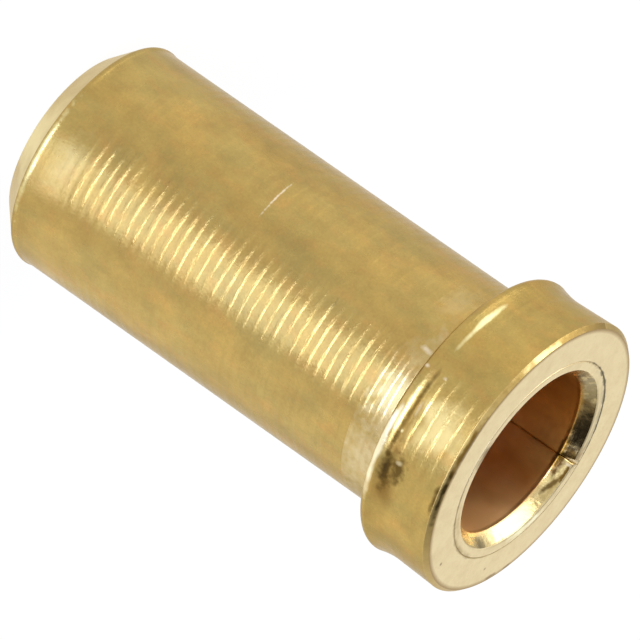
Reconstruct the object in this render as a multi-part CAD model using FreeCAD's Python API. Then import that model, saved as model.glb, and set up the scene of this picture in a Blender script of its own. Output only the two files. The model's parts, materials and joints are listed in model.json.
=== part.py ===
import FreeCAD, Part

import math
import os

# A pressed-in pin receptacle: a turned, closed-end shell with a headed mouth,
# and a rolled spring contact clip seated flush in the shell's countersink.
# Millimetres. +Z points out of the mouth. The origin is on the axis in the
# plane of the head's underside, which is the face that seats on a board.

# Shell, outside
overall_length = 5.33
head_length = 0.79
head_front_radius = 1.392
head_waist_radius = 1.374
head_rear_radius = 1.408
head_waist_drop = 0.47      # from the mouth face down to the waist
head_flare_sag = 0.009      # how far the flare behind the waist bows inward
front_bevel = 0.04
rear_rim_round = 0.08
neck_fillet = 0.05
barrel_radius = 1.13
tail_chamfer = 0.235

# Shell, inside
bore_radius = 0.92
bore_depth = 4.30           # full-width bore, measured from the mouth face
drill_point_angle = 118.0
countersink_widening = 0.10
countersink_depth = 0.124
countersink_round = 0.03    # where the countersink runs into the bore

# Contact clip, rolled from flat strip
strip_thickness = 0.09
press_clearance = 0.0       # the clip's collar grips the bore line to line
throat_round = 0.07
collar_length = 1.455       # from the mouth face down to the bend of the fingers
finger_bend = 0.16
finger_reach = 1.40         # from the bend down to the contact zone
contact_radius = 0.38
contact_length = 0.38
contact_bend = 0.20
tip_length = 0.16
tip_flare = 0.07
finger_count = 6
slot_width = 0.12
slot_rise = 0.12            # how far each slot runs up into the collar
seam_gap = 0.03
seam_notch_width = 0.07
seam_notch_depth = 0.10

# Margins that only keep the cutting tools clear of the faces they pass
cutter_margin = 0.2

# Levels shared by the two pieces
mouth_z = head_length
tail_z = mouth_z - overall_length
countersink_z = mouth_z - countersink_depth


def corner_arc(before, corner, after, radius):
    """Start, middle and end of the arc that rounds one corner of an outline."""
    here = FreeCAD.Vector(corner[0], 0, corner[1])
    back = (FreeCAD.Vector(before[0], 0, before[1]) - here).normalize()
    ahead = (FreeCAD.Vector(after[0], 0, after[1]) - here).normalize()
    half_angle = back.getAngle(ahead) / 2
    run = radius / math.tan(half_angle)
    bisector = (back + ahead).normalize()
    centre = here + bisector * (radius / math.sin(half_angle))
    middle = centre - bisector * radius
    return here + back * run, middle, here + ahead * run


def chain_edges(points):
    """Edges of an open path through (radius, z, corner round) points."""
    stretches = []
    for index, point in enumerate(points):
        if point[2] > 0:
            stretches.append(corner_arc(points[index - 1], point, points[index + 1], point[2]))
        else:
            here = FreeCAD.Vector(point[0], 0, point[1])
            stretches.append((here, here, here))
    edges = []
    for index, (start, middle, end) in enumerate(stretches):
        if start != end:
            edges.append(Part.Arc(start, middle, end).toShape())
        if index + 1 < len(stretches):
            edges.append(Part.LineSegment(end, stretches[index + 1][0]).toShape())
    return edges


def revolved(edges):
    """A solid of revolution about Z from the edges of a closed outline."""
    face = Part.Face(Part.Wire(edges))
    return face.revolve(FreeCAD.Vector(0, 0, 0), FreeCAD.Vector(0, 0, 1), 360)


def revolved_outline(points):
    """The same, from the outline's points, the first of them a sharp corner."""
    return revolved(chain_edges(points + points[:1]))


def rear_rim_edge():
    """The rounded corner between the head's underside and its flank."""
    inset = rear_rim_round * (1 - math.sqrt(0.5))
    underside = FreeCAD.Vector(head_rear_radius - rear_rim_round, 0, 0)
    middle = FreeCAD.Vector(head_rear_radius - inset, 0, inset)
    flank = FreeCAD.Vector(head_rear_radius, 0, rear_rim_round)
    return Part.Arc(underside, middle, flank).toShape()


def head_flare_edge():
    """The hollow flank between the head's proud rear rim and its waist."""
    rim = FreeCAD.Vector(head_rear_radius, 0, rear_rim_round)
    waist = FreeCAD.Vector(head_waist_radius, 0, mouth_z - head_waist_drop)
    middle = (rim + waist) * 0.5 - FreeCAD.Vector(head_flare_sag, 0, 0)
    return Part.Arc(rim, middle, waist).toShape()


def shell_blank():
    """The turned outside, from the closed tail to the mouth face."""
    tail_and_barrel = chain_edges([
        (0, tail_z, 0),
        (barrel_radius - tail_chamfer, tail_z, 0),
        (barrel_radius, tail_z + tail_chamfer, 0),
        (barrel_radius, 0, neck_fillet),
        (head_rear_radius - rear_rim_round, 0, 0),
    ])
    head = [rear_rim_edge(), head_flare_edge()]
    mouth_and_axis = chain_edges([
        (head_waist_radius, mouth_z - head_waist_drop, 0),
        (head_front_radius, mouth_z - front_bevel, 0),
        (head_front_radius - front_bevel, mouth_z, 0),
        (0, mouth_z, 0),
        (0, tail_z, 0),
    ])
    return revolved(tail_and_barrel + head + mouth_and_axis)


def shell_cavity():
    """The drilled bore with its countersink, as the space to cut away."""
    drill_drop = bore_radius / math.tan(math.radians(drill_point_angle / 2))
    bore_floor = mouth_z - bore_depth
    widening = countersink_widening / countersink_depth * cutter_margin
    return revolved_outline([
        (0, bore_floor - drill_drop, 0),
        (bore_radius, bore_floor, 0),
        (bore_radius, countersink_z, countersink_round),
        (bore_radius + countersink_widening + widening, mouth_z + cutter_margin, 0),
        (0, mouth_z + cutter_margin, 0),
    ])


def build_shell():
    return shell_blank().cut(shell_cavity())


def clip_blank():
    """The rolled strip before its slots: flared lip, collar, tapering fingers."""
    collar_outer = bore_radius - press_clearance
    collar_inner = collar_outer - strip_thickness
    lip_outer = collar_outer + countersink_widening
    lip_inner = lip_outer - strip_thickness
    contact_outer = contact_radius + strip_thickness
    bend_z = mouth_z - collar_length
    contact_top = bend_z - finger_reach
    contact_bottom = contact_top - contact_length
    tip_z = contact_bottom - tip_length
    return revolved_outline([
        (lip_outer, mouth_z, 0),
        (collar_outer, countersink_z, countersink_round),
        (collar_outer, bend_z, finger_bend + strip_thickness),
        (contact_outer, contact_top, contact_bend),
        (contact_outer, contact_bottom, 0),
        (contact_outer + tip_flare, tip_z, 0),
        (contact_radius + tip_flare, tip_z, 0),
        (contact_radius, contact_bottom, 0),
        (contact_radius, contact_top, contact_bend + strip_thickness),
        (collar_inner, bend_z, finger_bend),
        (collar_inner, countersink_z, throat_round),
        (lip_inner, mouth_z, 0),
    ])


def slot_cutter(angle):
    """One round-ended slot between two fingers, at an angle about Z."""
    reach = bore_radius + cutter_margin
    top_z = mouth_z - collar_length + slot_rise
    bottom_z = mouth_z - collar_length - finger_reach - contact_length - tip_length - cutter_margin
    round_z = top_z - slot_width / 2
    plate = Part.makeBox(
        reach, slot_width, round_z - bottom_z,
        FreeCAD.Vector(0, -slot_width / 2, bottom_z),
    )
    round_end = Part.makeCylinder(
        slot_width / 2, reach, FreeCAD.Vector(0, 0, round_z), FreeCAD.Vector(1, 0, 0),
    )
    cutter = plate.fuse(round_end)
    cutter.rotate(FreeCAD.Vector(0, 0, 0), FreeCAD.Vector(0, 0, 1), angle)
    return cutter


def seam_cutter(angle):
    """The butt gap where the rolled strip meets itself."""
    reach = bore_radius + countersink_widening + cutter_margin
    bottom_z = mouth_z - collar_length
    cutter = Part.makeBox(
        reach, seam_gap, mouth_z + cutter_margin - bottom_z,
        FreeCAD.Vector(0, -seam_gap / 2, bottom_z),
    )
    cutter.rotate(FreeCAD.Vector(0, 0, 0), FreeCAD.Vector(0, 0, 1), angle)
    return cutter


def seam_notch_cutter(angle):
    """The nick left at the lip by the strip's two cut corners."""
    inner = bore_radius - strip_thickness - cutter_margin
    reach = countersink_widening + strip_thickness + 2 * cutter_margin
    slope = seam_notch_width / 2 / seam_notch_depth
    top_z = mouth_z + cutter_margin
    half_top = slope * (seam_notch_depth + cutter_margin)
    corners = [
        FreeCAD.Vector(inner, -half_top, top_z),
        FreeCAD.Vector(inner, half_top, top_z),
        FreeCAD.Vector(inner, 0, mouth_z - seam_notch_depth),
        FreeCAD.Vector(inner, -half_top, top_z),
    ]
    cutter = Part.Face(Part.makePolygon(corners)).extrude(FreeCAD.Vector(reach, 0, 0))
    cutter.rotate(FreeCAD.Vector(0, 0, 0), FreeCAD.Vector(0, 0, 1), angle)
    return cutter


def build_contact_clip():
    seam_angle = 90.0
    clip = clip_blank()
    for index in range(finger_count):
        clip = clip.cut(slot_cutter(seam_angle + index * 360.0 / finger_count))
    clip = clip.cut(seam_cutter(seam_angle))
    return clip.cut(seam_notch_cutter(seam_angle))


def export_solid(shape, node):
    solid = shape.Solids[0]
    print(node, len(shape.Solids), "solid, valid", solid.isValid(), "volume", round(solid.Volume, 4))
    solid.exportStep(os.path.join("parts", node + ".step"))


os.makedirs("parts", exist_ok=True)
export_solid(build_shell(), "shell")
export_solid(build_contact_clip(), "contact_clip")
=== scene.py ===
import json
import math

import bpy
from mathutils import Matrix, Vector, noise


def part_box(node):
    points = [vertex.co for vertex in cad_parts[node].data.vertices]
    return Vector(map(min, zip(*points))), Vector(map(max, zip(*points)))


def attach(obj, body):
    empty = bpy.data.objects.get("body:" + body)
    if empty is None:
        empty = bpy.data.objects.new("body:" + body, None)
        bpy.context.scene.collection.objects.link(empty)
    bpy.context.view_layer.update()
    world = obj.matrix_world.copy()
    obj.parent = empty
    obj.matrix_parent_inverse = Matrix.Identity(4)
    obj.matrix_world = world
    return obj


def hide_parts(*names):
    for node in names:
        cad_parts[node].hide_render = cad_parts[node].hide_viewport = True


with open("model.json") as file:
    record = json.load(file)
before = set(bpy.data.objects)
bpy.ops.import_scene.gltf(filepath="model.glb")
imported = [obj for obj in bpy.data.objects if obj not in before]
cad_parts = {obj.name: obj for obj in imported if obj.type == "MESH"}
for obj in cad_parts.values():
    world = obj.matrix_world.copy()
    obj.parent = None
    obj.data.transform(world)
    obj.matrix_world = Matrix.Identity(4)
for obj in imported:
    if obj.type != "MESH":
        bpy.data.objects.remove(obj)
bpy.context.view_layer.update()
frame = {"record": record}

mm = 0.001
mounts = {m["name"]: m for m in frame["record"]["mounts"]}
barrelRadius = mounts["barrel"]["dims"]["r_mm"]
contactRadius = mounts["contact"]["dims"]["r_mm"]
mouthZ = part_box("shell")[1].z / mm
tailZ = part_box("shell")[0].z / mm
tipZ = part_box("contact_clip")[0].z / mm
seamAngle = 90.0  # degrees round the axis from +X


# Outlines in the radius and height plane, in mm

cornerSteps = {"fine": 5, "broad": 9, "fineBelow": 0.04}


def roundCorner(before, corner, after, radius, steps):
    here = Vector(corner)
    back = (Vector(before) - here).normalized()
    ahead = (Vector(after) - here).normalized()
    half = back.angle(ahead) / 2
    centre = here + (back + ahead).normalized() * (radius / math.sin(half))
    start = here + back * (radius / math.tan(half)) - centre
    end = here + ahead * (radius / math.tan(half)) - centre
    turn = -start.angle_signed(end)
    stops = []
    for step in range(steps + 1):
        part = turn * step / steps
        across = start.x * math.cos(part) - start.y * math.sin(part)
        along = start.x * math.sin(part) + start.y * math.cos(part)
        stops.append((centre.x + across, centre.y + along))
    return stops


def traceOutline(corners):
    # each corner: radius, height, rounding, steps on the run after it, and that run's name
    bends = []
    for index, corner in enumerate(corners):
        if corner[2]:
            before, after = corners[index - 1][:2], corners[index + 1][:2]
            steps = cornerSteps["fine" if corner[2] < cornerSteps["fineBelow"] else "broad"]
            bends.append(roundCorner(before, corner[:2], after, corner[2], steps))
        else:
            bends.append([tuple(corner[:2])])
    stops = []
    for index, bend in enumerate(bends):
        run = corners[index][4]
        stops += [(r, z, run) for r, z in bend]
        if index + 1 < len(bends):
            start, end = Vector(bend[-1]), Vector(bends[index + 1][0])
            for step in range(1, corners[index][3]):
                r, z = start.lerp(end, step / corners[index][3])
                stops.append((r, z, run))
    return stops


def outlineNormals(stops):
    normals = []
    for index in range(len(stops)):
        before = stops[max(index - 1, 0)]
        after = stops[min(index + 1, len(stops) - 1)]
        normals.append(Vector((after[1] - before[1], before[0] - after[0])).normalized())
    return normals


def wrapDegrees(angle):
    return (angle + 180) % 360 - 180


def softNoise(x, y, z, seed):
    # the shift only gives each seed a field of its own
    return noise.noise(Vector((x + 17.3 * seed, y - 9.1 * seed, z + 4.7 * seed)))


def newPiece(name, verts, faces):
    mesh = bpy.data.meshes.new(name)
    mesh.from_pydata(verts, [], faces)
    mesh.polygons.foreach_set("use_smooth", [True] * len(faces))
    piece = bpy.data.objects.new(name, mesh)
    bpy.context.scene.collection.objects.link(piece)
    return piece


# Shell: one turned piece, closed at the tail

shell = {
    "segments": 180,
    "headFront": 1.392,
    "headWaist": 1.374,
    "headRear": 1.408,
    "waistDrop": 0.47,
    "flareSag": 0.009,
    "frontBevel": 0.04,
    "rimRound": 0.08,
    "neckFillet": 0.05,
    "tailChamfer": 0.235,
    "boreRadius": 0.92,
    "boreDepth": 4.30,
    "drillPoint": 118.0,
    "countersinkWidening": 0.10,
    "countersinkDepth": 0.124,
    "edgeBreak": 0.012,
    "mouthBreak": 0.012,
    "tailRound": 0.02,
    "bevelRound": 0.008,
    "boreRound": 0.03,
    "rimSteps": 8,
    "flareSteps": 26,
    "stopsPerGroove": 8,
}

feedMarks = {
    "barrel": {"pitch": 0.1015, "phase": 0.0, "depth": 0.0030, "ridge": 0.0000110, "start": (-4.02, -3.80)},
    "neck": {"pitch": 0.068, "phase": 0.25, "depth": 0.0016, "ridge": 0.0000080, "start": (-1.0, -0.9)},
    "flank": {"pitch": 0.119, "phase": -0.286, "depth": 0.0030, "ridge": 0.0000095, "start": (0.20, 0.26)},
    "neckLength": 0.42,
    "freshSide": 263.0,  # degrees round the axis, where the marks stay crisp; rubbed faint elsewhere
    "freshSpan": (15.0, 28.0),
    "wornDepth": 0.22,
    "drift": {"amount": 0.8, "across": 0.6, "along": 9, "seed": 1},
}

# a burr at the tail's edge, and a lip rolled up on one side of the rear rim
beads = {
    "barrel": {"height": tailZ + shell["tailChamfer"] + 0.028, "width": 0.022, "rise": 0.011},
    "flank": {"height": 0.102, "width": 0.022, "rise": 0.004, "side": 272.0, "span": (24.0, 42.0)},
    "drift": {"amount": 0.6, "across": 2.2, "along": 1, "seed": 3},
}


def flareArc(size):
    rim = Vector((size["headRear"], size["rimRound"]))
    waist = Vector((size["headWaist"], mouthZ - size["waistDrop"]))
    middle = (rim + waist) / 2 - Vector((size["flareSag"], 0))
    stops = []
    for step in range(1, size["flareSteps"]):
        t = step / size["flareSteps"]
        point = rim * (2 * t * t - 3 * t + 1) + middle * (4 * t - 4 * t * t) + waist * (2 * t * t - t)
        stops.append((point.x, point.y, "flank"))
    return stops


def shellStops(size, marks):
    perGroove = size["stopsPerGroove"]
    neckZ = -marks["neckLength"]
    barrelRun = neckZ - (tailZ + size["tailChamfer"])
    barrelSteps = round(barrelRun / marks["barrel"]["pitch"] * perGroove)
    neckSteps = round((marks["neckLength"] - size["neckFillet"]) / marks["neck"]["pitch"] * perGroove)
    flankSteps = round((size["waistDrop"] - size["frontBevel"]) / marks["flank"]["pitch"] * perGroove)
    floor = mouthZ - size["boreDepth"]
    drillDrop = size["boreRadius"] / math.tan(math.radians(size["drillPoint"] / 2))
    rimStart = size["headRear"] - size["rimRound"]
    countersinkZ = mouthZ - size["countersinkDepth"]
    outer = traceOutline([
        (0, tailZ, 0, 10, "tail"),
        (barrelRadius - size["tailChamfer"], tailZ, size["edgeBreak"], 8, "chamfer"),
        (barrelRadius, tailZ + size["tailChamfer"], size["tailRound"], barrelSteps, "barrel"),
        (barrelRadius, neckZ, 0, neckSteps, "neck"),
        (barrelRadius, 0, size["neckFillet"], 5, "underside"),
        (rimStart, 0, 0, 1, "rim"),
    ])
    rim = []
    for step in range(1, size["rimSteps"] + 1):
        angle = math.radians(-90 + 90 * step / size["rimSteps"])
        across, along = size["rimRound"] * math.cos(angle), size["rimRound"] * math.sin(angle)
        rim.append((rimStart + across, size["rimRound"] + along, "rim"))
    mouth = traceOutline([
        (size["headWaist"], mouthZ - size["waistDrop"], 0, flankSteps, "flank"),
        (size["headFront"], mouthZ - size["frontBevel"], size["bevelRound"], 3, "bevel"),
        (size["headFront"] - size["frontBevel"], mouthZ, size["bevelRound"], 12, "face"),
        (size["boreRadius"] + size["countersinkWidening"], mouthZ, size["mouthBreak"], 3, "ring"),
        (size["boreRadius"], countersinkZ, size["boreRound"], 30, "bore"),
        (size["boreRadius"], floor, size["boreRound"], 8, "bore"),
        (0, floor - drillDrop, 0, 1, "bore"),
    ])
    return outer + rim + flareArc(size) + mouth


def grooveShape(turns):
    part = turns % 1.0
    return (2 * part - 1) ** 2 - 1  # cusps at 0, a hollow of -1 between them


def markFade(z, start):
    return min(max((z - start[0]) / (start[1] - start[0]), 0.0), 1.0)


def driftAt(x, y, z, drift):
    across, along = drift["across"], drift["along"]
    return 1.0 + drift["amount"] * softNoise(x * across, y * across, z * along, drift["seed"])


def shellPush(z, run, angle):
    # how far the turned surface stands off its plain outline
    if run not in ("barrel", "neck", "flank"):
        return 0.0
    x, y = math.cos(angle), math.sin(angle)
    side = math.degrees(angle)
    marks = feedMarks[run]
    worn = markFade(abs(wrapDegrees(side - feedMarks["freshSide"])), feedMarks["freshSpan"])
    depth = marks["depth"] * driftAt(x, y, z, feedMarks["drift"])
    depth *= 1.0 + (feedMarks["wornDepth"] - 1.0) * worn
    depth *= markFade(z, marks["start"])
    push = depth * grooveShape(z / marks["pitch"] + angle / (2 * math.pi) + marks["phase"])
    if run in beads:
        bead = beads[run]
        uneven = driftAt(x, y, z, beads["drift"])
        if "side" in bead:
            uneven *= 1.0 - markFade(abs(wrapDegrees(side - bead["side"])), bead["span"])
        push += bead["rise"] * uneven * math.exp(-((z - bead["height"]) / bead["width"]) ** 2)
    return push


def latheMesh(name, stops, segments, push):
    # push moves the surface along the outline's normal, but never past the head's widest radius
    verts, faces, runs, rings = [], [], [], []
    for (r, z, run), normal in zip(stops, outlineNormals(stops)):
        if r < 1e-6:
            rings.append([len(verts)])
            verts.append((0, 0, z * mm))
            continue
        ring = []
        for step in range(segments):
            angle = 2 * math.pi * step / segments
            out = push(z, run, angle)
            radius = min(r + normal.x * out, shell["headRear"])
            height = z + normal.y * out
            ring.append(len(verts))
            verts.append((radius * math.cos(angle) * mm, radius * math.sin(angle) * mm, height * mm))
        rings.append(ring)
    for index in range(len(rings) - 1):
        low, high = rings[index], rings[index + 1]
        for step in range(segments):
            after = (step + 1) % segments
            if len(low) == 1:
                faces.append((low[0], high[after], high[step]))
            elif len(high) == 1:
                faces.append((low[step], low[after], high[0]))
            else:
                faces.append((low[step], low[after], high[after], high[step]))
            runs.append(stops[index + 1][2] if len(low) == 1 else stops[index][2])
    return newPiece(name, verts, faces), runs


def paintRuns(piece, runs, finishes):
    # finishes: pairs of a material and the names of the runs it covers
    for slot, (finish, names) in enumerate(finishes):
        piece.data.materials.append(finish)
        for polygon, run in zip(piece.data.polygons, runs):
            if run in names:
                polygon.material_index = slot


# Contact clip: rolled strip with a flared lip, a seam and six fingers

clip = {
    "strip": 0.09,
    "collarLength": 1.455,
    "fingerReach": 1.40,
    "fingerBend": 0.16,
    "contactBend": 0.20,
    "lipFlat": 0.024,
    "lipEase": 0.007,
    "contactZone": 0.38,
    "tipFlare": 0.07,
    "fingers": 6,
    "slotWidth": 0.12,
    "slotRise": 0.12,
    "seamGap": 0.005,
    "notchWidth": 0.045,
    "notchDepth": 0.10,
    "slotEase": 0.005,
    "cutRound": 0.005,  # how far the cut edges are rounded over
    "columns": 16,
    "edgeColumn": 0.975,
}


def clipStops(size):
    outerR = shell["boreRadius"]
    lipOuter = outerR + shell["countersinkWidening"]
    flareZ = mouthZ - shell["countersinkDepth"]
    bendZ = mouthZ - size["collarLength"]
    contactTop = bendZ - size["fingerReach"]
    contactBottom = contactTop - size["contactZone"]
    slotTop = bendZ + size["slotRise"]
    slotRun = slotTop - size["slotWidth"] / 2 - size["slotEase"]
    collarEnd = slotTop + size["slotEase"]
    thick = size["strip"]
    bend, contactBend = size["fingerBend"], size["contactBend"]
    flat, ease = size["lipFlat"], size["lipEase"]
    outer = traceOutline([
        (lipOuter - flat, mouthZ, 0, 1, "lip"),
        (lipOuter - ease, mouthZ, 0, 1, "lip"),
        (lipOuter - 0.4 * ease, mouthZ - ease, 0, 8, "flare"),
        (outerR, flareZ, shell["boreRound"], 12, "collar"),
        (outerR, collarEnd, 0, 14, "collar"),
        (outerR, slotRun, 0, 2, "collar"),
        (outerR, bendZ, bend + thick, 22, "finger"),
        (contactRadius + thick, contactTop, contactBend, 6, "finger"),
        (contactRadius + thick, contactBottom, 0, 4, "tip"),
        (contactRadius + thick + size["tipFlare"], tipZ, 0, 1, "tip"),
    ])
    inner = traceOutline([
        (lipOuter - thick + flat, mouthZ, 0, 1, "lip"),
        (lipOuter - thick + ease, mouthZ, 0, 1, "lip"),
        (lipOuter - thick - 0.8 * ease, mouthZ - ease, 0, 8, "flare"),
        (outerR - thick, flareZ, shell["boreRound"], 12, "collar"),
        (outerR - thick, collarEnd, 0, 14, "collar"),
        (outerR - thick, slotRun, 0, 2, "collar"),
        (outerR - thick, bendZ, bend, 22, "finger"),
        (contactRadius, contactTop, contactBend + thick, 6, "finger"),
        (contactRadius, contactBottom, 0, 4, "tip"),
        (contactRadius + size["tipFlare"], tipZ, 0, 1, "tip"),
    ])
    return inner, outer


def clipGap(size, z, atSeam):
    slotTop = mouthZ - size["collarLength"] + size["slotRise"]
    half = size["slotWidth"] / 2
    gap = 0.0
    if z < slotTop:
        below = min(slotTop - z, half)
        gap = math.sqrt(half * half - (half - below) ** 2)
    if atSeam:
        notch = size["notchWidth"] / 2 * (1 - (mouthZ - z) / size["notchDepth"])
        gap = max(gap, size["seamGap"] / 2, notch)
    return gap


def clipColumns(size):
    count = size["columns"]
    columns = [-1 + 2 * step / count for step in range(count + 1)]
    edge = size["edgeColumn"]
    return columns[:1] + [-edge] + columns[1:-1] + [edge] + columns[-1:]


def clipMesh(name, size):
    inner, outer = clipStops(size)
    columns = clipColumns(size)
    lastFinger, lastColumn = size["fingers"] - 1, len(columns) - 1
    sector = 360.0 / size["fingers"]
    verts, faces, index = [], [], {}

    def vertexAt(row, finger, column, outside):
        r, z = (outer if outside else inner)[row][:2]
        share = columns[column]
        besideSeam = (finger == 0 and share < 0) or (finger == lastFinger and share > 0)
        gap = clipGap(size, z, besideSeam)
        half = sector / 2 - math.degrees(math.asin(min(gap / r, 0.95)))
        angle = math.radians(seamAngle + sector * (finger + 0.5) + share * half)
        if abs(share) == 1 and gap > 0:
            r += -size["cutRound"] if outside else size["cutRound"]
        key = (row, outside, round(r * math.cos(angle), 6), round(r * math.sin(angle), 6))
        if key not in index:
            index[key] = len(verts)
            verts.append((r * math.cos(angle) * mm, r * math.sin(angle) * mm, z * mm))
        return index[key]

    rows = len(inner)
    for finger in range(size["fingers"]):
        for row in range(rows - 1):
            for column in range(lastColumn):
                for outside in (False, True):
                    quad = [vertexAt(row + down, finger, column + along, outside)
                            for down, along in ((0, 0), (0, 1), (1, 1), (1, 0))]
                    faces.append(quad[::-1] if outside else quad)
            for column, flip in ((0, False), (lastColumn, True)):
                side = [vertexAt(row, finger, column, False), vertexAt(row + 1, finger, column, False),
                        vertexAt(row + 1, finger, column, True), vertexAt(row, finger, column, True)]
                other = (finger + (1 if flip else -1)) % size["fingers"]
                mirror = lastColumn - column
                beside = [vertexAt(row, other, mirror, False), vertexAt(row + 1, other, mirror, False)]
                if side[:2] != beside:  # no cut edge where the two sectors are still one strip
                    faces.append(side[::-1] if flip else side)
        for row, flip in ((0, True), (rows - 1, False)):
            for column in range(lastColumn):
                cap = [vertexAt(row, finger, column, False), vertexAt(row, finger, column + 1, False),
                       vertexAt(row, finger, column + 1, True), vertexAt(row, finger, column, True)]
                faces.append(cap[::-1] if flip else cap)
    return newPiece(name, verts, faces)


def paintLip(piece, finish, size):
    # the lip's flat top was faced together with the shell's mouth
    piece.data.materials.append(finish)
    lowest = (mouthZ - 1.2 * size["lipEase"]) * mm
    for polygon in piece.data.polygons:
        if min(piece.data.vertices[corner].co.z for corner in polygon.vertices) > lowest:
            polygon.material_index = len(piece.data.materials) - 1


# Finishes


def newFinish(name):
    material = bpy.data.materials.new(name)
    material.use_nodes = True
    tree = material.node_tree
    return material, tree, tree.nodes["Principled BSDF"]


def addNode(tree, kind, settings=None, **inputs):
    node = tree.nodes.new(kind)
    for key, value in (settings or {}).items():
        setattr(node, key, value)
    for key, value in inputs.items():
        socket = node.inputs[int(key[1:])] if key[1:].isdigit() else node.inputs[key]
        if isinstance(value, bpy.types.NodeSocket):
            tree.links.new(value, socket)
        else:
            socket.default_value = value
    return node


def millimetres(tree, stretch=(1, 1, 1)):
    coords = addNode(tree, "ShaderNodeTexCoord")
    scale = [1000 * s for s in stretch]
    mapped = addNode(tree, "ShaderNodeMapping", Vector=coords.outputs["Object"], Scale=scale)
    return mapped.outputs["Vector"]


def doMath(tree, operation, first, second=0.0):
    return addNode(tree, "ShaderNodeMath", {"operation": operation}, _0=first, _1=second).outputs[0]


def noiseField(tree, field):
    node = addNode(tree, "ShaderNodeTexNoise", Vector=millimetres(tree, field.get("stretch", (1, 1, 1))),
                   Scale=field["scale"], Detail=field["detail"], Roughness=field.get("roughness", 0.5))
    return node.outputs["Fac"]


def mixColour(tree, factor, first, second):
    node = addNode(tree, "ShaderNodeMix", {"data_type": "RGBA"})
    for socket, value in ((node.inputs[0], factor), (node.inputs[6], first), (node.inputs[7], second)):
        if isinstance(value, bpy.types.NodeSocket):
            tree.links.new(value, socket)
        else:
            socket.default_value = value
    return node.outputs[2]


def remap(tree, value, low, high, toLow, toHigh, blend="LINEAR"):
    node = addNode(tree, "ShaderNodeMapRange", {"interpolation_type": blend}, Value=value)
    for key, number in (("From Min", low), ("From Max", high), ("To Min", toLow), ("To Max", toHigh)):
        node.inputs[key].default_value = number
    return node.outputs[0]


def patches(tree, field):
    # noise cut to a span of its values, which turns into what the field gives
    return remap(tree, noiseField(tree, field), *field["span"], *field["gives"])


def roundPlace(tree):
    # degrees round the axis (180 to 540), and the distance from it and height along it in mm
    place = millimetres(tree)
    fac = addNode(tree, "ShaderNodeTexGradient", {"gradient_type": "RADIAL"}, Vector=place).outputs["Fac"]
    around = doMath(tree, "ADD", doMath(tree, "MULTIPLY", fac, 360.0), 180.0)
    flat = addNode(tree, "ShaderNodeVectorMath", {"operation": "MULTIPLY"}, _0=place, _1=(1, 1, 0))
    radius = addNode(tree, "ShaderNodeVectorMath", {"operation": "LENGTH"}, _0=flat.outputs[0])
    height = addNode(tree, "ShaderNodeSeparateXYZ", Vector=place).outputs["Z"]
    return {"around": around, "radius": radius.outputs["Value"], "height": height}


def markHeight(tree, place, marks):
    # rounded feed marks in step with the mesh's own: a fall towards the mouth, then a longer rise
    turns = doMath(tree, "DIVIDE", doMath(tree, "SUBTRACT", place["around"], 180.0), 360.0)
    turns = doMath(tree, "ADD", doMath(tree, "DIVIDE", place["height"], marks["pitch"]), turns)
    part = doMath(tree, "FRACT", doMath(tree, "ADD", turns, marks["phase"]))
    turn = turnedGold["fallShare"]
    fall = remap(tree, part, 0, turn, 1, 0, "SMOOTHSTEP")
    rise = remap(tree, part, turn, 1, 0, 1, "SMOOTHSTEP")
    shape = doMath(tree, "MAXIMUM", fall, rise)
    return doMath(tree, "MULTIPLY", shape, remap(tree, place["height"], *marks["start"], 0, 1))


def spotMask(tree, place, across, spot):
    # an ellipse with a ragged edge, in degrees round the axis and mm across
    away = doMath(tree, "SUBTRACT", place["around"], spot["angle"])
    lean = doMath(tree, "MULTIPLY", away, spot.get("slant", 0.0))
    along = doMath(tree, "DIVIDE", away, spot["halfAngle"])
    off = doMath(tree, "SUBTRACT", doMath(tree, "SUBTRACT", place[across], spot["at"]), lean)
    off = doMath(tree, "DIVIDE", off, spot["half"])
    reach = addNode(tree, "ShaderNodeCombineXYZ", _0=along, _1=off).outputs[0]
    reach = addNode(tree, "ShaderNodeVectorMath", {"operation": "LENGTH"}, _0=reach).outputs["Value"]
    edge = {"scale": spot.get("ragged", 12.0), "detail": 3, "span": (0.3, 0.7), "gives": (-0.35, 0.35)}
    reach = doMath(tree, "ADD", reach, patches(tree, edge))
    return remap(tree, reach, 1.0, spot.get("soft", 0.3), 0.0, spot["strength"])


def blotch(tree, colour, place, across, spot):
    # one small stain, speck or scratch, or a painted highlight, painted reflection or painted shade
    return mixColour(tree, spotMask(tree, place, across, spot), colour, spot["colour"])


def wornMask(tree, place):
    away = doMath(tree, "ABSOLUTE", doMath(tree, "SUBTRACT", place["around"], feedMarks["freshSide"]))
    return remap(tree, away, *feedMarks["freshSpan"], 1.0, feedMarks["wornDepth"])


turnedGold = {
    "base": (0.475, 0.318, 0.085, 1),
    "olive": (0.43, 0.308, 0.090, 1),
    "reddish": (0.505, 0.298, 0.082, 1),
    "edge": (0.80, 0.72, 0.55, 1),
    "coat": {"barrel": 0.4, "neck": 0.4, "flank": 0.2},
    "coatRoughness": 0.25,
    "anisotropy": 0.6,
    "anisotropyTurn": 0.25,
    "fallShare": 0.45,
    "lineHeight": 0.0000022,
    "grainHeight": 0.0000018,
}

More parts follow.
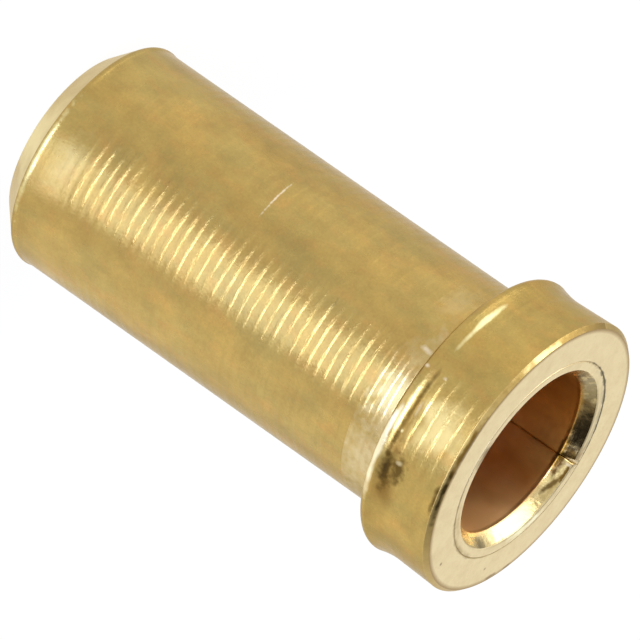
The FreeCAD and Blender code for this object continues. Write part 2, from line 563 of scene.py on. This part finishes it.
turnedNoise = {
    "oliveClouds": {"stretch": (1, 1, 0.6), "scale": 3.2, "detail": 5, "span": (0.38, 0.62),
                    "gives": (0, 1)},
    "reddishClouds": {"stretch": (1, 1, 0.6), "scale": 7, "detail": 5, "span": (0.50, 0.70),
                      "gives": (0, 0.6)},
    "shade": {"stretch": (1, 1, 0.7), "scale": 4.5, "detail": 6, "roughness": 0.6, "span": (0.3, 0.7),
              "gives": (0.86, 1.12)},
    "speckle": {"scale": 42, "detail": 2, "span": (0.3, 0.7), "gives": (0.95, 1.05)},
    "roughness": {"scale": 9, "detail": 4, "span": (0.3, 0.7), "gives": (0.26, 0.36)},
    "ridges": {"stretch": (3, 3, 14), "scale": 1, "detail": 4, "roughness": 0.6, "span": (0.3, 0.7),
               "gives": (0.55, 1.4)},
    "grain": {"scale": 38, "detail": 3},
    "lines": {"stretch": (0.5, 0.5, 30), "scale": 1, "detail": 3},
}

# painted shade: umber in the head's groove hollows, on one side only
grooveShade = {
    "side": 270.0,
    "span": (8, 20),
    "strength": 0.30,
    "hollow": (0.1, 0.65),
    "patches": {"scale": 7, "detail": 4, "span": (0.35, 0.55), "gives": (0.25, 1.0)},
}

cream = (0.66, 0.54, 0.30, 1)
pearl = (0.92, 0.80, 0.60, 1)
butter = (0.93, 0.83, 0.40, 1)
umber = (0.19, 0.100, 0.014, 1)
bark = (0.10, 0.055, 0.006, 1)
nearBlack = (0.045, 0.026, 0.005, 1)

# marks painted into the turned gold: scratches and specks, and also painted highlights and painted dark
# reflections
turnedSpots = {
    "barrel": (
        {"angle": 224.5, "at": -2.218, "halfAngle": 14, "half": 0.013, "slant": 0.00124, "colour": pearl,
         "strength": 0.7, "soft": 0.2, "ragged": 30.0},
        # painted highlight: a pale line along the tail's edge, on the lit side
        {"angle": 275, "at": -4.275, "halfAngle": 36, "half": 0.03, "colour": butter, "strength": 0.7,
         "soft": 0.2},
        {"angle": 268, "at": -3.98, "halfAngle": 18, "half": 0.20, "colour": (0.60, 0.47, 0.19, 1),
         "strength": 0.4, "soft": 0.0},
        {"angle": 200, "at": -2.45, "halfAngle": 12, "half": 0.9, "colour": umber, "strength": 0.18,
         "soft": 0.0},
    ),
    "neck": (
        # painted highlights: the broad cream marks on the barrel next to the head
        {"angle": 270, "at": -0.10, "halfAngle": 40, "half": 0.30, "colour": cream, "strength": 0.42,
         "soft": 0.0},
        {"angle": 268, "at": -0.14, "halfAngle": 16, "half": 0.30, "colour": (0.70, 0.58, 0.26, 1),
         "strength": 0.65, "soft": 0.1},
        {"angle": 306, "at": -0.20, "halfAngle": 30, "half": 0.40, "colour": cream, "strength": 0.75,
         "soft": 0.0},
        {"angle": 214, "at": -0.28, "halfAngle": 15, "half": 0.20, "colour": cream, "strength": 0.25,
         "soft": 0.0},
        {"angle": 249.8, "at": -0.068, "halfAngle": 2.6, "half": 0.022, "colour": pearl, "strength": 0.8},
        {"angle": 243.0, "at": -0.16, "halfAngle": 1.8, "half": 0.09, "colour": pearl, "strength": 0.6},
        {"angle": 236, "at": -0.12, "halfAngle": 7, "half": 0.07, "colour": cream, "strength": 0.45,
         "soft": 0.0},
    ),
    "flank": (
        # painted highlight: a pale band along the rear rim
        {"angle": 286, "at": 0.052, "halfAngle": 20, "half": 0.060, "colour": (0.96, 0.87, 0.58, 1),
         "strength": 0.95, "soft": 0.5, "ragged": 4.0},
        {"angle": 266, "at": 0.48, "halfAngle": 13, "half": 0.26, "colour": (0.60, 0.46, 0.17, 1),
         "strength": 0.75, "soft": 0.4, "ragged": 5.0},
        # painted highlight: a bright yellow band on the rim, in the key light's reflection
        {"angle": 269, "at": 0.112, "halfAngle": 18, "half": 0.030, "colour": (0.62, 0.48, 0.17, 1),
         "strength": 0.9, "soft": 0.5, "ragged": 5.0},
        # painted highlight: a thin bright line on the rim
        {"angle": 226, "at": 0.165, "halfAngle": 14, "half": 0.032, "colour": (1.0, 0.90, 0.46, 1),
         "strength": 1.0, "soft": 0.4, "ragged": 4.0},
        # painted dark reflections in the next seven marks: dark lines beside the rim's highlights and a dark
        # patch below them
        {"angle": 264, "at": 0.168, "halfAngle": 17, "half": 0.030, "colour": bark, "strength": 0.95,
         "soft": 0.3, "ragged": 7.0},
        {"angle": 272, "at": 0.20, "halfAngle": 14, "half": 0.08, "colour": umber, "strength": 0.6,
         "soft": 0.0},
        {"angle": 278, "at": 0.155, "halfAngle": 11, "half": 0.032, "colour": bark, "strength": 0.85,
         "soft": 0.3},
        {"angle": 297, "at": 0.22, "halfAngle": 21, "half": 0.15, "colour": umber, "strength": 0.8,
         "soft": 0.0, "ragged": 3.0},
        {"angle": 291, "at": 0.19, "halfAngle": 10, "half": 0.08, "colour": bark, "strength": 0.95,
         "soft": 0.3},
        {"angle": 290, "at": 0.30, "halfAngle": 8, "half": 0.09, "colour": bark, "strength": 0.9,
         "soft": 0.3},
        {"angle": 291, "at": 0.175, "halfAngle": 6, "half": 0.05, "colour": nearBlack, "strength": 0.7,
         "soft": 0.0},
        {"angle": 286.5, "at": 0.285, "halfAngle": 1.2, "half": 0.045, "colour": cream, "strength": 0.7},
        {"angle": 275, "at": 0.178, "halfAngle": 1.0, "half": 0.018, "colour": butter, "strength": 0.5},
        {"angle": 265, "at": 0.21, "halfAngle": 4.0, "half": 0.016, "colour": cream, "strength": 0.3},
        {"angle": 250.4, "at": 0.05, "halfAngle": 1.2, "half": 0.045, "colour": pearl, "strength": 0.7},
        {"angle": 250.6, "at": 0.25, "halfAngle": 1.1, "half": 0.030, "colour": pearl, "strength": 0.5},
        {"angle": 289, "at": 0.735, "halfAngle": 8, "half": 0.035, "colour": bark, "strength": 0.9},
    ),
}


def mottledGold(tree):
    olive = patches(tree, turnedNoise["oliveClouds"])
    tint = mixColour(tree, olive, turnedGold["olive"], turnedGold["base"])
    tint = mixColour(tree, patches(tree, turnedNoise["reddishClouds"]), tint, turnedGold["reddish"])
    speckle = patches(tree, turnedNoise["speckle"])
    shade = doMath(tree, "MULTIPLY", patches(tree, turnedNoise["shade"]), speckle)
    return addNode(tree, "ShaderNodeVectorMath", {"operation": "SCALE"}, _0=tint, Scale=shade).outputs[0]


# painted shade: the groove hollows on one side are mixed towards umber
def groovesShaded(tree, tint, place, marks):
    away = doMath(tree, "ABSOLUTE", doMath(tree, "SUBTRACT", place["around"], grooveShade["side"]))
    near = remap(tree, away, *grooveShade["span"], grooveShade["strength"], 0.0)
    hollow = remap(tree, markHeight(tree, place, marks), *grooveShade["hollow"], 1.0, 0.0)
    mask = doMath(tree, "MULTIPLY", near, hollow)
    mask = doMath(tree, "MULTIPLY", mask, patches(tree, grooveShade["patches"]))
    return mixColour(tree, mask, tint, umber)


def addBump(tree, height, distance, **below):
    bump = addNode(tree, "ShaderNodeBump", Height=height, Strength=1.0, Distance=distance, **below)
    return bump.outputs[0]


def makeTurnedGold(run):
    marks = feedMarks[run]
    material, tree, shader = newFinish("turned gold, " + run)
    place = roundPlace(tree)
    tint = mottledGold(tree)
    if run == "flank":
        # painted shade in the groove hollows
        tint = groovesShaded(tree, tint, place, marks)
    for spot in turnedSpots[run]:
        tint = blotch(tree, tint, place, "height", spot)
    tree.links.new(tint, shader.inputs["Base Color"])
    tree.links.new(patches(tree, turnedNoise["roughness"]), shader.inputs["Roughness"])
    shader.inputs["Metallic"].default_value = 1.0
    shader.inputs["Anisotropic"].default_value = turnedGold["anisotropy"]
    shader.inputs["Anisotropic Rotation"].default_value = turnedGold["anisotropyTurn"]
    shader.inputs["Specular Tint"].default_value = turnedGold["edge"]
    shader.inputs["Coat Weight"].default_value = turnedGold["coat"][run]
    shader.inputs["Coat Roughness"].default_value = turnedGold["coatRoughness"]
    tangent = addNode(tree, "ShaderNodeTangent", {"direction_type": "RADIAL", "axis": "Z"})
    tree.links.new(tangent.outputs[0], shader.inputs["Tangent"])
    uneven = doMath(tree, "MULTIPLY", patches(tree, turnedNoise["ridges"]), wornMask(tree, place))
    ridges = doMath(tree, "MULTIPLY", markHeight(tree, place, marks), uneven)
    grain = addBump(tree, noiseField(tree, turnedNoise["grain"]), turnedGold["grainHeight"])
    lines = addBump(tree, noiseField(tree, turnedNoise["lines"]), turnedGold["lineHeight"], Normal=grain)
    relief = addBump(tree, ridges, marks["ridge"], Normal=lines)
    tree.links.new(relief, shader.inputs["Normal"])
    tree.links.new(relief, shader.inputs["Coat Normal"])
    return material


matteGold = {
    "face": {
        "base": (0.835, 0.69, 0.40, 1),
        "dull": (0.71, 0.56, 0.295, 1),
        "roughness": 0.42,
        # edge: painted shade, a browner ring at the face's outer edge
        "edge": {"from": 1.308, "to": 1.346, "strength": 0.95, "colour": (0.38, 0.25, 0.09, 1)},
        "spots": (
            {"angle": 332.5, "at": 1.231, "halfAngle": 1.4, "half": 0.022, "colour": umber,
             "strength": 0.8},
            {"angle": 378, "at": 1.186, "halfAngle": 1.2, "half": 0.02, "colour": umber, "strength": 0.7},
            {"angle": 384.6, "at": 1.323, "halfAngle": 5.0, "half": 0.03, "colour": umber, "strength": 0.7},
            {"angle": 395, "at": 1.335, "halfAngle": 4.0, "half": 0.02, "colour": umber, "strength": 0.7},
            {"angle": 270, "at": 0.955, "halfAngle": 14, "half": 0.05, "colour": (0.24, 0.15, 0.05, 1),
             "strength": 0.9, "soft": 0.1},
            {"angle": 268, "at": 1.340, "halfAngle": 18, "half": 0.035, "colour": (0.24, 0.15, 0.04, 1),
             "strength": 0.9, "soft": 0.2},
            {"angle": 315, "at": 0.97, "halfAngle": 18, "half": 0.04, "colour": (0.50, 0.36, 0.14, 1),
             "strength": 0.55, "soft": 0.0},
            {"angle": 340, "at": 1.0, "halfAngle": 26, "half": 0.03, "colour": (0.50, 0.37, 0.16, 1),
             "strength": 0.6, "soft": 0.0},
            # painted highlight on the clip's lip
            {"angle": 402, "at": 0.960, "halfAngle": 13, "half": 0.07, "colour": (1.0, 0.93, 0.60, 1),
             "strength": 1.0, "soft": 0.3},
            # painted dark reflection on the upper side of the mouth
            {"angle": 492, "at": 1.014, "halfAngle": 42, "half": 0.024, "colour": (0.17, 0.14, 0.06, 1),
             "strength": 0.9, "soft": 0.4},
            {"angle": 330, "at": 1.020, "halfAngle": 40, "half": 0.022, "colour": (0.42, 0.32, 0.14, 1),
             "strength": 0.7, "soft": 0.2},
            # painted dark reflection on the upper side of the mouth
            {"angle": 480, "at": 0.990, "halfAngle": 8, "half": 0.022, "colour": (0.22, 0.19, 0.09, 1),
             "strength": 0.7, "soft": 0.0},
            {"angle": 470, "at": 0.975, "halfAngle": 52, "half": 0.035, "colour": (0.52, 0.43, 0.24, 1),
             "strength": 0.75, "soft": 0.1, "ragged": 8.0},
            # painted shade at the seam's notch
            {"angle": 454, "at": 0.960, "halfAngle": 9, "half": 0.050, "colour": (0.34, 0.21, 0.08, 1),
             "strength": 0.8, "soft": 0.2, "ragged": 12.0},
            # painted highlight on the clip's lip
            {"angle": 412, "at": 0.978, "halfAngle": 9, "half": 0.030, "colour": (1.0, 0.95, 0.66, 1),
             "strength": 1.0, "soft": 0.4},
        ),
    },
    "bevel": {
        "base": (0.56, 0.40, 0.14, 1),
        "dull": (0.46, 0.31, 0.095, 1),
        "roughness": 0.42,
        "spots": (
            # painted dark reflection along the near side of the bevel
            {"angle": 190, "at": 1.37, "halfAngle": 62, "half": 0.06, "colour": (0.33, 0.215, 0.06, 1),
             "strength": 0.85},
            # painted highlight on the bevel
            {"angle": 220.5, "at": 1.368, "halfAngle": 12, "half": 0.03, "colour": (0.86, 0.71, 0.34, 1),
             "strength": 0.95, "soft": 0.3, "ragged": 10.0},
            {"angle": 270, "at": 1.360, "halfAngle": 20, "half": 0.022, "colour": umber, "strength": 0.9},
            # painted highlight on the bevel's edge, in the key light's reflection
            {"angle": 265, "at": 1.382, "halfAngle": 4, "half": 0.010, "colour": (0.70, 0.52, 0.17, 1),
             "strength": 0.8},
            # painted dark reflection, continuing the dark patch on the flank
            {"angle": 289, "at": 1.368, "halfAngle": 14, "half": 0.020, "colour": nearBlack, "strength": 0.9},
        ),
    },
    "ring": {
        "base": (0.66, 0.52, 0.27, 1),
        "dull": (0.56, 0.42, 0.20, 1),
        "roughness": 0.45,
        "spots": (
            # painted dark reflection on the upper side of the mouth
            {"angle": 492, "at": 1.02, "halfAngle": 44, "half": 0.2, "colour": (0.13, 0.11, 0.05, 1),
             "strength": 0.95, "soft": 0.5},
            {"angle": 272, "at": 1.02, "halfAngle": 24, "half": 0.2, "colour": umber, "strength": 0.9},
            {"angle": 345, "at": 1.02, "halfAngle": 50, "half": 0.2, "colour": (0.38, 0.27, 0.10, 1),
             "strength": 0.8},
        ),
    },
    "tail": {
        "base": (0.66, 0.52, 0.25, 1),
        "dull": (0.57, 0.43, 0.19, 1),
        "roughness": 0.45,
        "spots": (
            # painted highlight on the chamfer, on the lit side
            {"angle": 268, "at": 1.02, "halfAngle": 26, "half": 0.4, "colour": (0.88, 0.76, 0.41, 1),
             "strength": 0.85, "soft": 0.2, "ragged": 3.0},
        ),
    },
}

matteNoise = {
    "clouds": {"scale": 7, "detail": 6, "roughness": 0.6, "span": (0.4, 0.8), "gives": (0, 0.8)},
    "speckle": {"scale": 34, "detail": 3, "span": (0.52, 0.72), "gives": (0, 0.45)},
    "grain": {"scale": 26, "detail": 4},
    "grainHeight": 0.0000016,
}


def makeMatteGold(name):
    finish = matteGold[name]
    material, tree, shader = newFinish("matte gold, " + name)
    place = roundPlace(tree)
    tint = mixColour(tree, patches(tree, matteNoise["clouds"]), finish["base"], finish["dull"])
    tint = mixColour(tree, patches(tree, matteNoise["speckle"]), tint, finish["dull"])
    # painted shade: the face's outer edge is painted browner
    if "edge" in finish:  # the outer edge turns browner
        edge = finish["edge"]
        near = remap(tree, place["radius"], edge["from"], edge["to"], 0, edge["strength"])
        tint = mixColour(tree, near, tint, edge["colour"])
    for spot in finish["spots"]:
        tint = blotch(tree, tint, place, "radius", spot)
    tree.links.new(tint, shader.inputs["Base Color"])
    shader.inputs["Metallic"].default_value = 1.0
    shader.inputs["Roughness"].default_value = finish["roughness"]
    grain = addBump(tree, noiseField(tree, matteNoise["grain"]), matteNoise["grainHeight"])
    tree.links.new(grain, shader.inputs["Normal"])
    return material


clipGold = {
    "throatSpots": (
        # painted shade: at the seam's notch and down the seam below it
        {"angle": 453, "at": mouthZ - 0.122, "halfAngle": 17, "half": 0.045, "colour": bark, "strength": 0.9,
         "soft": 0.4},
        {"angle": 455, "at": mouthZ - 0.30, "halfAngle": 12, "half": 0.25, "colour": (0.40, 0.21, 0.05, 1),
         "strength": 0.6, "soft": 0.0},
        # painted shade: darker deep in the bore on its far side
        {"angle": 500, "at": mouthZ - 1.0, "halfAngle": 38, "half": 0.80, "colour": (0.42, 0.20, 0.045, 1),
         "strength": 0.85, "soft": 0.0, "ragged": 3.0},
    ),
    "rim": (0.88, 0.69, 0.33, 1),
    # deep: painted shade, the wall down the bore is painted darker and redder than the lip; lowSide and
    # litSide: painted light on one side of that wall
    "deep": (0.695, 0.39, 0.095, 1),
    "lowSide": (0.98, 0.64, 0.29, 1),
    "litSide": {"angle": 362, "at": -0.2, "halfAngle": 105, "half": 2.4, "strength": 1.0, "soft": 0.2,
                "ragged": 1.5},
    "throat": (mouthZ - 0.09, mouthZ - 0.16),  # heights between which the lead-in ends and the wall begins
    "rimRoughness": {"stretch": (1, 1, 0.3), "scale": 8, "detail": 4, "span": (0.3, 0.7),
                     "gives": (0.17, 0.28)},
    "deepRoughness": (0.33, 0.48),
    "worn": {"stretch": (1, 1, 0.3), "scale": 5, "detail": 4, "span": (0.3, 0.7), "gives": (0.80, 1.08)},
    "dents": {"scale": 6, "detail": 3},
    "dentHeight": 0.000012,
    "spots": (
        {"angle": 432, "at": 0.900, "halfAngle": 15, "half": 0.040, "colour": (0.48, 0.34, 0.11, 1),
         "strength": 0.8, "soft": 0.2, "ragged": 16.0},
        # painted shade and a painted highlight streak beside the seam's notch
        {"angle": 433, "at": 0.890, "halfAngle": 13, "half": 0.018, "slant": 0.003,
         "colour": (0.17, 0.10, 0.025, 1), "strength": 0.9, "soft": 0.3},
        {"angle": 438, "at": 0.868, "halfAngle": 11, "half": 0.014, "slant": 0.0035,
         "colour": (0.96, 0.80, 0.34, 1), "strength": 0.9, "soft": 0.4},
        {"angle": 441, "at": 0.918, "halfAngle": 7, "half": 0.018, "colour": umber, "strength": 0.95,
         "soft": 0.5, "ragged": 20.0},
        {"angle": 430, "at": 0.965, "halfAngle": 9, "half": 0.014, "colour": umber, "strength": 0.5},
        # painted shade in the seam's notch
        {"angle": 453, "at": 0.895, "halfAngle": 5.5, "half": 0.08, "colour": umber, "strength": 0.95},
        # painted shade where the side light's reflection falls on the lead-in
        {"angle": 318, "at": 0.90, "halfAngle": 28, "half": 0.30, "colour": (0.44, 0.34, 0.15, 1),
         "strength": 0.85, "soft": 0.2, "ragged": 6.0},
        # painted highlight at the notch's top
        {"angle": 447, "at": 0.905, "halfAngle": 1.2, "half": 0.03, "colour": pearl, "strength": 0.7},
        # painted dark reflection on the upper side of the lead-in
        {"angle": 502, "at": 0.88, "halfAngle": 30, "half": 0.13, "colour": (0.255, 0.195, 0.085, 1),
         "strength": 0.9},
        {"angle": 473, "at": 0.90, "halfAngle": 26, "half": 0.40, "colour": (0.18, 0.115, 0.040, 1),
         "strength": 0.9, "soft": 0.6, "ragged": 5.0},
        # painted shade in the seam's notch
        {"angle": 447, "at": 0.845, "halfAngle": 12, "half": 0.055, "colour": (0.16, 0.08, 0.02, 1),
         "strength": 0.95, "soft": 0.5},
        # painted dark reflection on the upper side of the lead-in
        {"angle": 506, "at": 0.828, "halfAngle": 30, "half": 0.040, "colour": umber, "strength": 0.95,
         "soft": 0.4},
        # painted shade where the side light's reflection falls on the lead-in
        {"angle": 367, "at": 0.900, "halfAngle": 11, "half": 0.050, "colour": (0.36, 0.285, 0.14, 1),
         "strength": 0.9, "soft": 0.3, "ragged": 9.0},
    ),
}


def makeClipGold():
    material, tree, shader = newFinish("clip gold")
    place = roundPlace(tree)
    # painted shade: down the bore the lip's colour gives way to the darker deep colour, and painted light
    # brightens one side of the wall
    depth = remap(tree, place["height"], *clipGold["throat"], 0, 1)
    worn = patches(tree, clipGold["worn"])
    deep = clipGold["deep"][:3]
    deep = addNode(tree, "ShaderNodeVectorMath", {"operation": "SCALE"}, _0=deep, Scale=worn)
    lip = clipGold["rim"]
    for spot in clipGold["spots"]:
        lip = blotch(tree, lip, place, "radius", spot)
    lit = spotMask(tree, place, "height", clipGold["litSide"])
    tint = mixColour(tree, depth, lip, mixColour(tree, lit, deep.outputs[0], clipGold["lowSide"]))
    for spot in clipGold["throatSpots"]:
        tint = blotch(tree, tint, place, "height", spot)
    tree.links.new(tint, shader.inputs["Base Color"])
    shader.inputs["Metallic"].default_value = 1.0
    polish = patches(tree, clipGold["rimRoughness"])
    inside = remap(tree, lit, 0, 1, *clipGold["deepRoughness"])
    span = doMath(tree, "MULTIPLY", depth, doMath(tree, "SUBTRACT", inside, polish))
    tree.links.new(doMath(tree, "ADD", polish, span), shader.inputs["Roughness"])
    leadIn = doMath(tree, "SUBTRACT", 1.0, depth)
    dents = doMath(tree, "MULTIPLY", noiseField(tree, clipGold["dents"]), leadIn)
    tree.links.new(addBump(tree, dents, clipGold["dentHeight"]), shader.inputs["Normal"])
    return material


# Stage: floor, lamps, world and camera

stage = {
    "floorRadius": 0.12,
    "floorSides": 96,
    "floorDiffuse": 0.07,
    "floorGlow": (0.90, 0.885, 0.86, 1),
    "floorSeen": (0.935, 0.935, 0.935, 1),
}


def makeFloor():
    bpy.ops.mesh.primitive_circle_add(vertices=stage["floorSides"], radius=stage["floorRadius"],
                                      fill_type="NGON", location=(0, 0, tailZ * mm))
    floor = bpy.context.object
    floor.name = "studio_floor"
    material = bpy.data.materials.new("pale floor")
    material.use_nodes = True
    tree = material.node_tree
    tree.nodes.clear()
    out = addNode(tree, "ShaderNodeOutputMaterial")
    path = addNode(tree, "ShaderNodeLightPath")
    seen = doMath(tree, "MAXIMUM", path.outputs["Is Camera Ray"], path.outputs["Is Glossy Ray"])
    seen = doMath(tree, "MAXIMUM", seen, path.outputs["Is Transmission Ray"])
    level = stage["floorDiffuse"]
    plain = addNode(tree, "ShaderNodeBsdfDiffuse", Color=(level, level, level, 1))
    pale = mixColour(tree, path.outputs["Is Camera Ray"], stage["floorGlow"], stage["floorSeen"])
    glow = addNode(tree, "ShaderNodeEmission", Color=pale, Strength=1.0)
    lit = addNode(tree, "ShaderNodeAddShader", _0=plain.outputs[0], _1=glow.outputs[0])
    mix = addNode(tree, "ShaderNodeMixShader", _0=seen, _1=plain.outputs[0], _2=lit.outputs[0])
    tree.links.new(mix.outputs[0], out.inputs["Surface"])
    floor.data.materials.append(material)


def directionTo(azimuth, elevation):
    a, e = math.radians(azimuth), math.radians(elevation)
    return Vector((math.sin(a) * math.cos(e), -math.cos(a) * math.cos(e), math.sin(e)))


softboxes = {
    "key": {"azimuth": 10, "elevation": 26, "away": 60, "width": 48, "height": 34, "radiance": 5.4,
            "colour": (1.0, 1.14, 1.7)},
    "side": {"azimuth": -100, "elevation": 32, "away": 60, "width": 58, "height": 60, "radiance": 2.3,
             "colour": (1.0, 1.0, 1.0)},
    "back": {"azimuth": 167, "elevation": 32, "away": 60, "width": 80, "height": 44, "radiance": 0.30,
             "colour": (1.0, 1.0, 1.0)},
}

# low panels that lie round the part, where the upright barrel mirrors the floor;
# the spread is their width against the distance from the axis
groundPanels = {
    "band": {"azimuth": 10, "spread": 0.66, "radiance": 0.90, "colour": (0.92, 1.12, 1.8)},
    "fill": {"azimuth": 80, "spread": 1.15, "radiance": 0.25, "colour": (1.0, 1.05, 1.1)},
    "left": {"azimuth": -85, "spread": 1.0, "radiance": 0.10, "colour": (1.0, 1.0, 1.0)},
}

panelRows = {
    "nearest": 1.7,
    "growth": 1.4,
    "count": 7,
    "lift": 0.02,
}


def addLamp(name, width, height, look):
    lamp = bpy.data.lights.new(name, "AREA")
    lamp.shape = "RECTANGLE"
    lamp.size, lamp.size_y = width * mm, height * mm
    lamp.energy = look["radiance"] * math.pi * lamp.size * lamp.size_y
    lamp.color = look["colour"]
    lampObject = bpy.data.objects.new(name, lamp)
    lampObject.visible_camera = False
    bpy.context.scene.collection.objects.link(lampObject)
    return lampObject


def makeSoftbox(name, box):
    lampObject = addLamp(name, box["width"], box["height"], box)
    towards = directionTo(box["azimuth"], box["elevation"])
    lampObject.location = towards * box["away"] * mm
    lampObject.rotation_mode = "QUATERNION"
    lampObject.rotation_quaternion = (-towards).to_track_quat("-Z", "Y")


def makePanels(name, panel):
    start = panelRows["nearest"]
    for index in range(panelRows["count"]):
        end = start * panelRows["growth"]
        middle = (start + end) / 2
        lampObject = addLamp(name + "_" + str(index), middle * panel["spread"], end - start, panel)
        lampObject.location = directionTo(panel["azimuth"], 0) * middle * mm
        lampObject.location.z = (tailZ + panelRows["lift"]) * mm
        lampObject.rotation_euler = (math.pi, 0, math.radians(panel["azimuth"]))
        start = end


room = {
    "pale": 1.0,
    "ceiling": 0.30,
    "fade": (0.30, 0.75),  # heights on the sky's unit sphere between the pale walls and the ceiling
    # darker and brighter places: direction, cosines of the soft edge, and level
    "cards": (
        {"azimuth": 61, "elevation": 45, "outer": 0.90, "inner": 0.960, "level": 0.09},
        {"azimuth": -5, "elevation": 62, "outer": 0.85, "inner": 0.955, "level": 2.6},
        {"azimuth": -110, "elevation": 50, "outer": 0.80, "inner": 0.93, "level": 1.7},
        {"azimuth": -161, "elevation": 4, "outer": 0.91, "inner": 0.97, "level": 0.42},
    ),
}


def makeWorld():
    world = bpy.data.worlds.new("studio")
    bpy.context.scene.world = world
    world.use_nodes = True
    tree = world.node_tree
    coords = addNode(tree, "ShaderNodeTexCoord").outputs["Generated"]
    up = addNode(tree, "ShaderNodeSeparateXYZ", Vector=coords).outputs["Z"]
    level = remap(tree, up, *room["fade"], room["pale"], room["ceiling"])
    for card in room["cards"]:
        aim = directionTo(card["azimuth"], card["elevation"])
        facing = addNode(tree, "ShaderNodeVectorMath", {"operation": "DOT_PRODUCT"}, _0=coords, _1=aim)
        shade = remap(tree, facing.outputs["Value"], card["outer"], card["inner"], 1.0, card["level"])
        level = doMath(tree, "MULTIPLY", level, shade)
    background = tree.nodes["Background"]
    background.inputs["Color"].default_value = (1, 1, 1, 1)
    tree.links.new(level, background.inputs["Strength"])


# The view: fitted to the photograph's outline, in barrel radii from the mouth's centre

cameraPlace = {
    "azimuth": -13.0,
    "elevation": 22.88,
    "roll": 125.06,
    "across": 1.6273,
    "down": 1.0857,
    "away": 91.45,
    "lens": 663.4,
}


def makeCamera():
    place = cameraPlace
    data = bpy.data.cameras.new("camera")
    data.sensor_width = 36
    data.lens = place["lens"]
    data.clip_start, data.clip_end = 0.001, 10
    camera = bpy.data.objects.new("camera", data)
    bpy.context.scene.collection.objects.link(camera)
    bpy.context.scene.camera = camera
    back = directionTo(place["azimuth"], place["elevation"])
    level = Vector((-back.y, back.x, 0)).normalized()
    upright = back.cross(level)
    roll = math.radians(place["roll"])
    right = level * math.cos(roll) + upright * math.sin(roll)
    up = upright * math.cos(roll) - level * math.sin(roll)
    unit = barrelRadius * mm
    mouth = Vector((0, 0, mouthZ * mm))
    spot = mouth + unit * (back * place["away"] - right * place["across"] + up * place["down"])
    turnedTo = Matrix((right, up, back)).transposed().to_4x4()
    camera.matrix_world = Matrix.Translation(spot) @ turnedTo


# Build

turned = {run: makeTurnedGold(run) for run in ("barrel", "neck", "flank")}
matte = {name: makeMatteGold(name) for name in ("face", "bevel", "ring", "tail")}
rolled = makeClipGold()

shellOutline = shellStops(shell, feedMarks)
shellPiece, shellRuns = latheMesh("turned_shell", shellOutline, shell["segments"], shellPush)
paintRuns(shellPiece, shellRuns, [
    (turned["barrel"], ("barrel",)),
    (turned["neck"], ("neck", "underside")),
    (turned["flank"], ("rim", "flank")),
    (matte["face"], ("face",)),
    (matte["bevel"], ("bevel",)),
    (matte["ring"], ("ring",)),
    (matte["tail"], ("tail", "chamfer")),
    (rolled, ("bore",)),
])
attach(shellPiece, "root")
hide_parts("shell")
print("shell", len(shellPiece.data.polygons))

clipPiece = clipMesh("rolled_clip", clip)
clipPiece.data.materials.append(rolled)
paintLip(clipPiece, matte["face"], clip)
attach(clipPiece, "root")
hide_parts("contact_clip")
print("clip", len(clipPiece.data.polygons))

makeFloor()
for boxName, box in softboxes.items():
    makeSoftbox(boxName, box)
for panelName, panel in groundPanels.items():
    makePanels(panelName, panel)
makeWorld()
makeCamera()
bpy.context.scene.view_settings.view_transform = "Standard"
print("stage, lamps and camera")
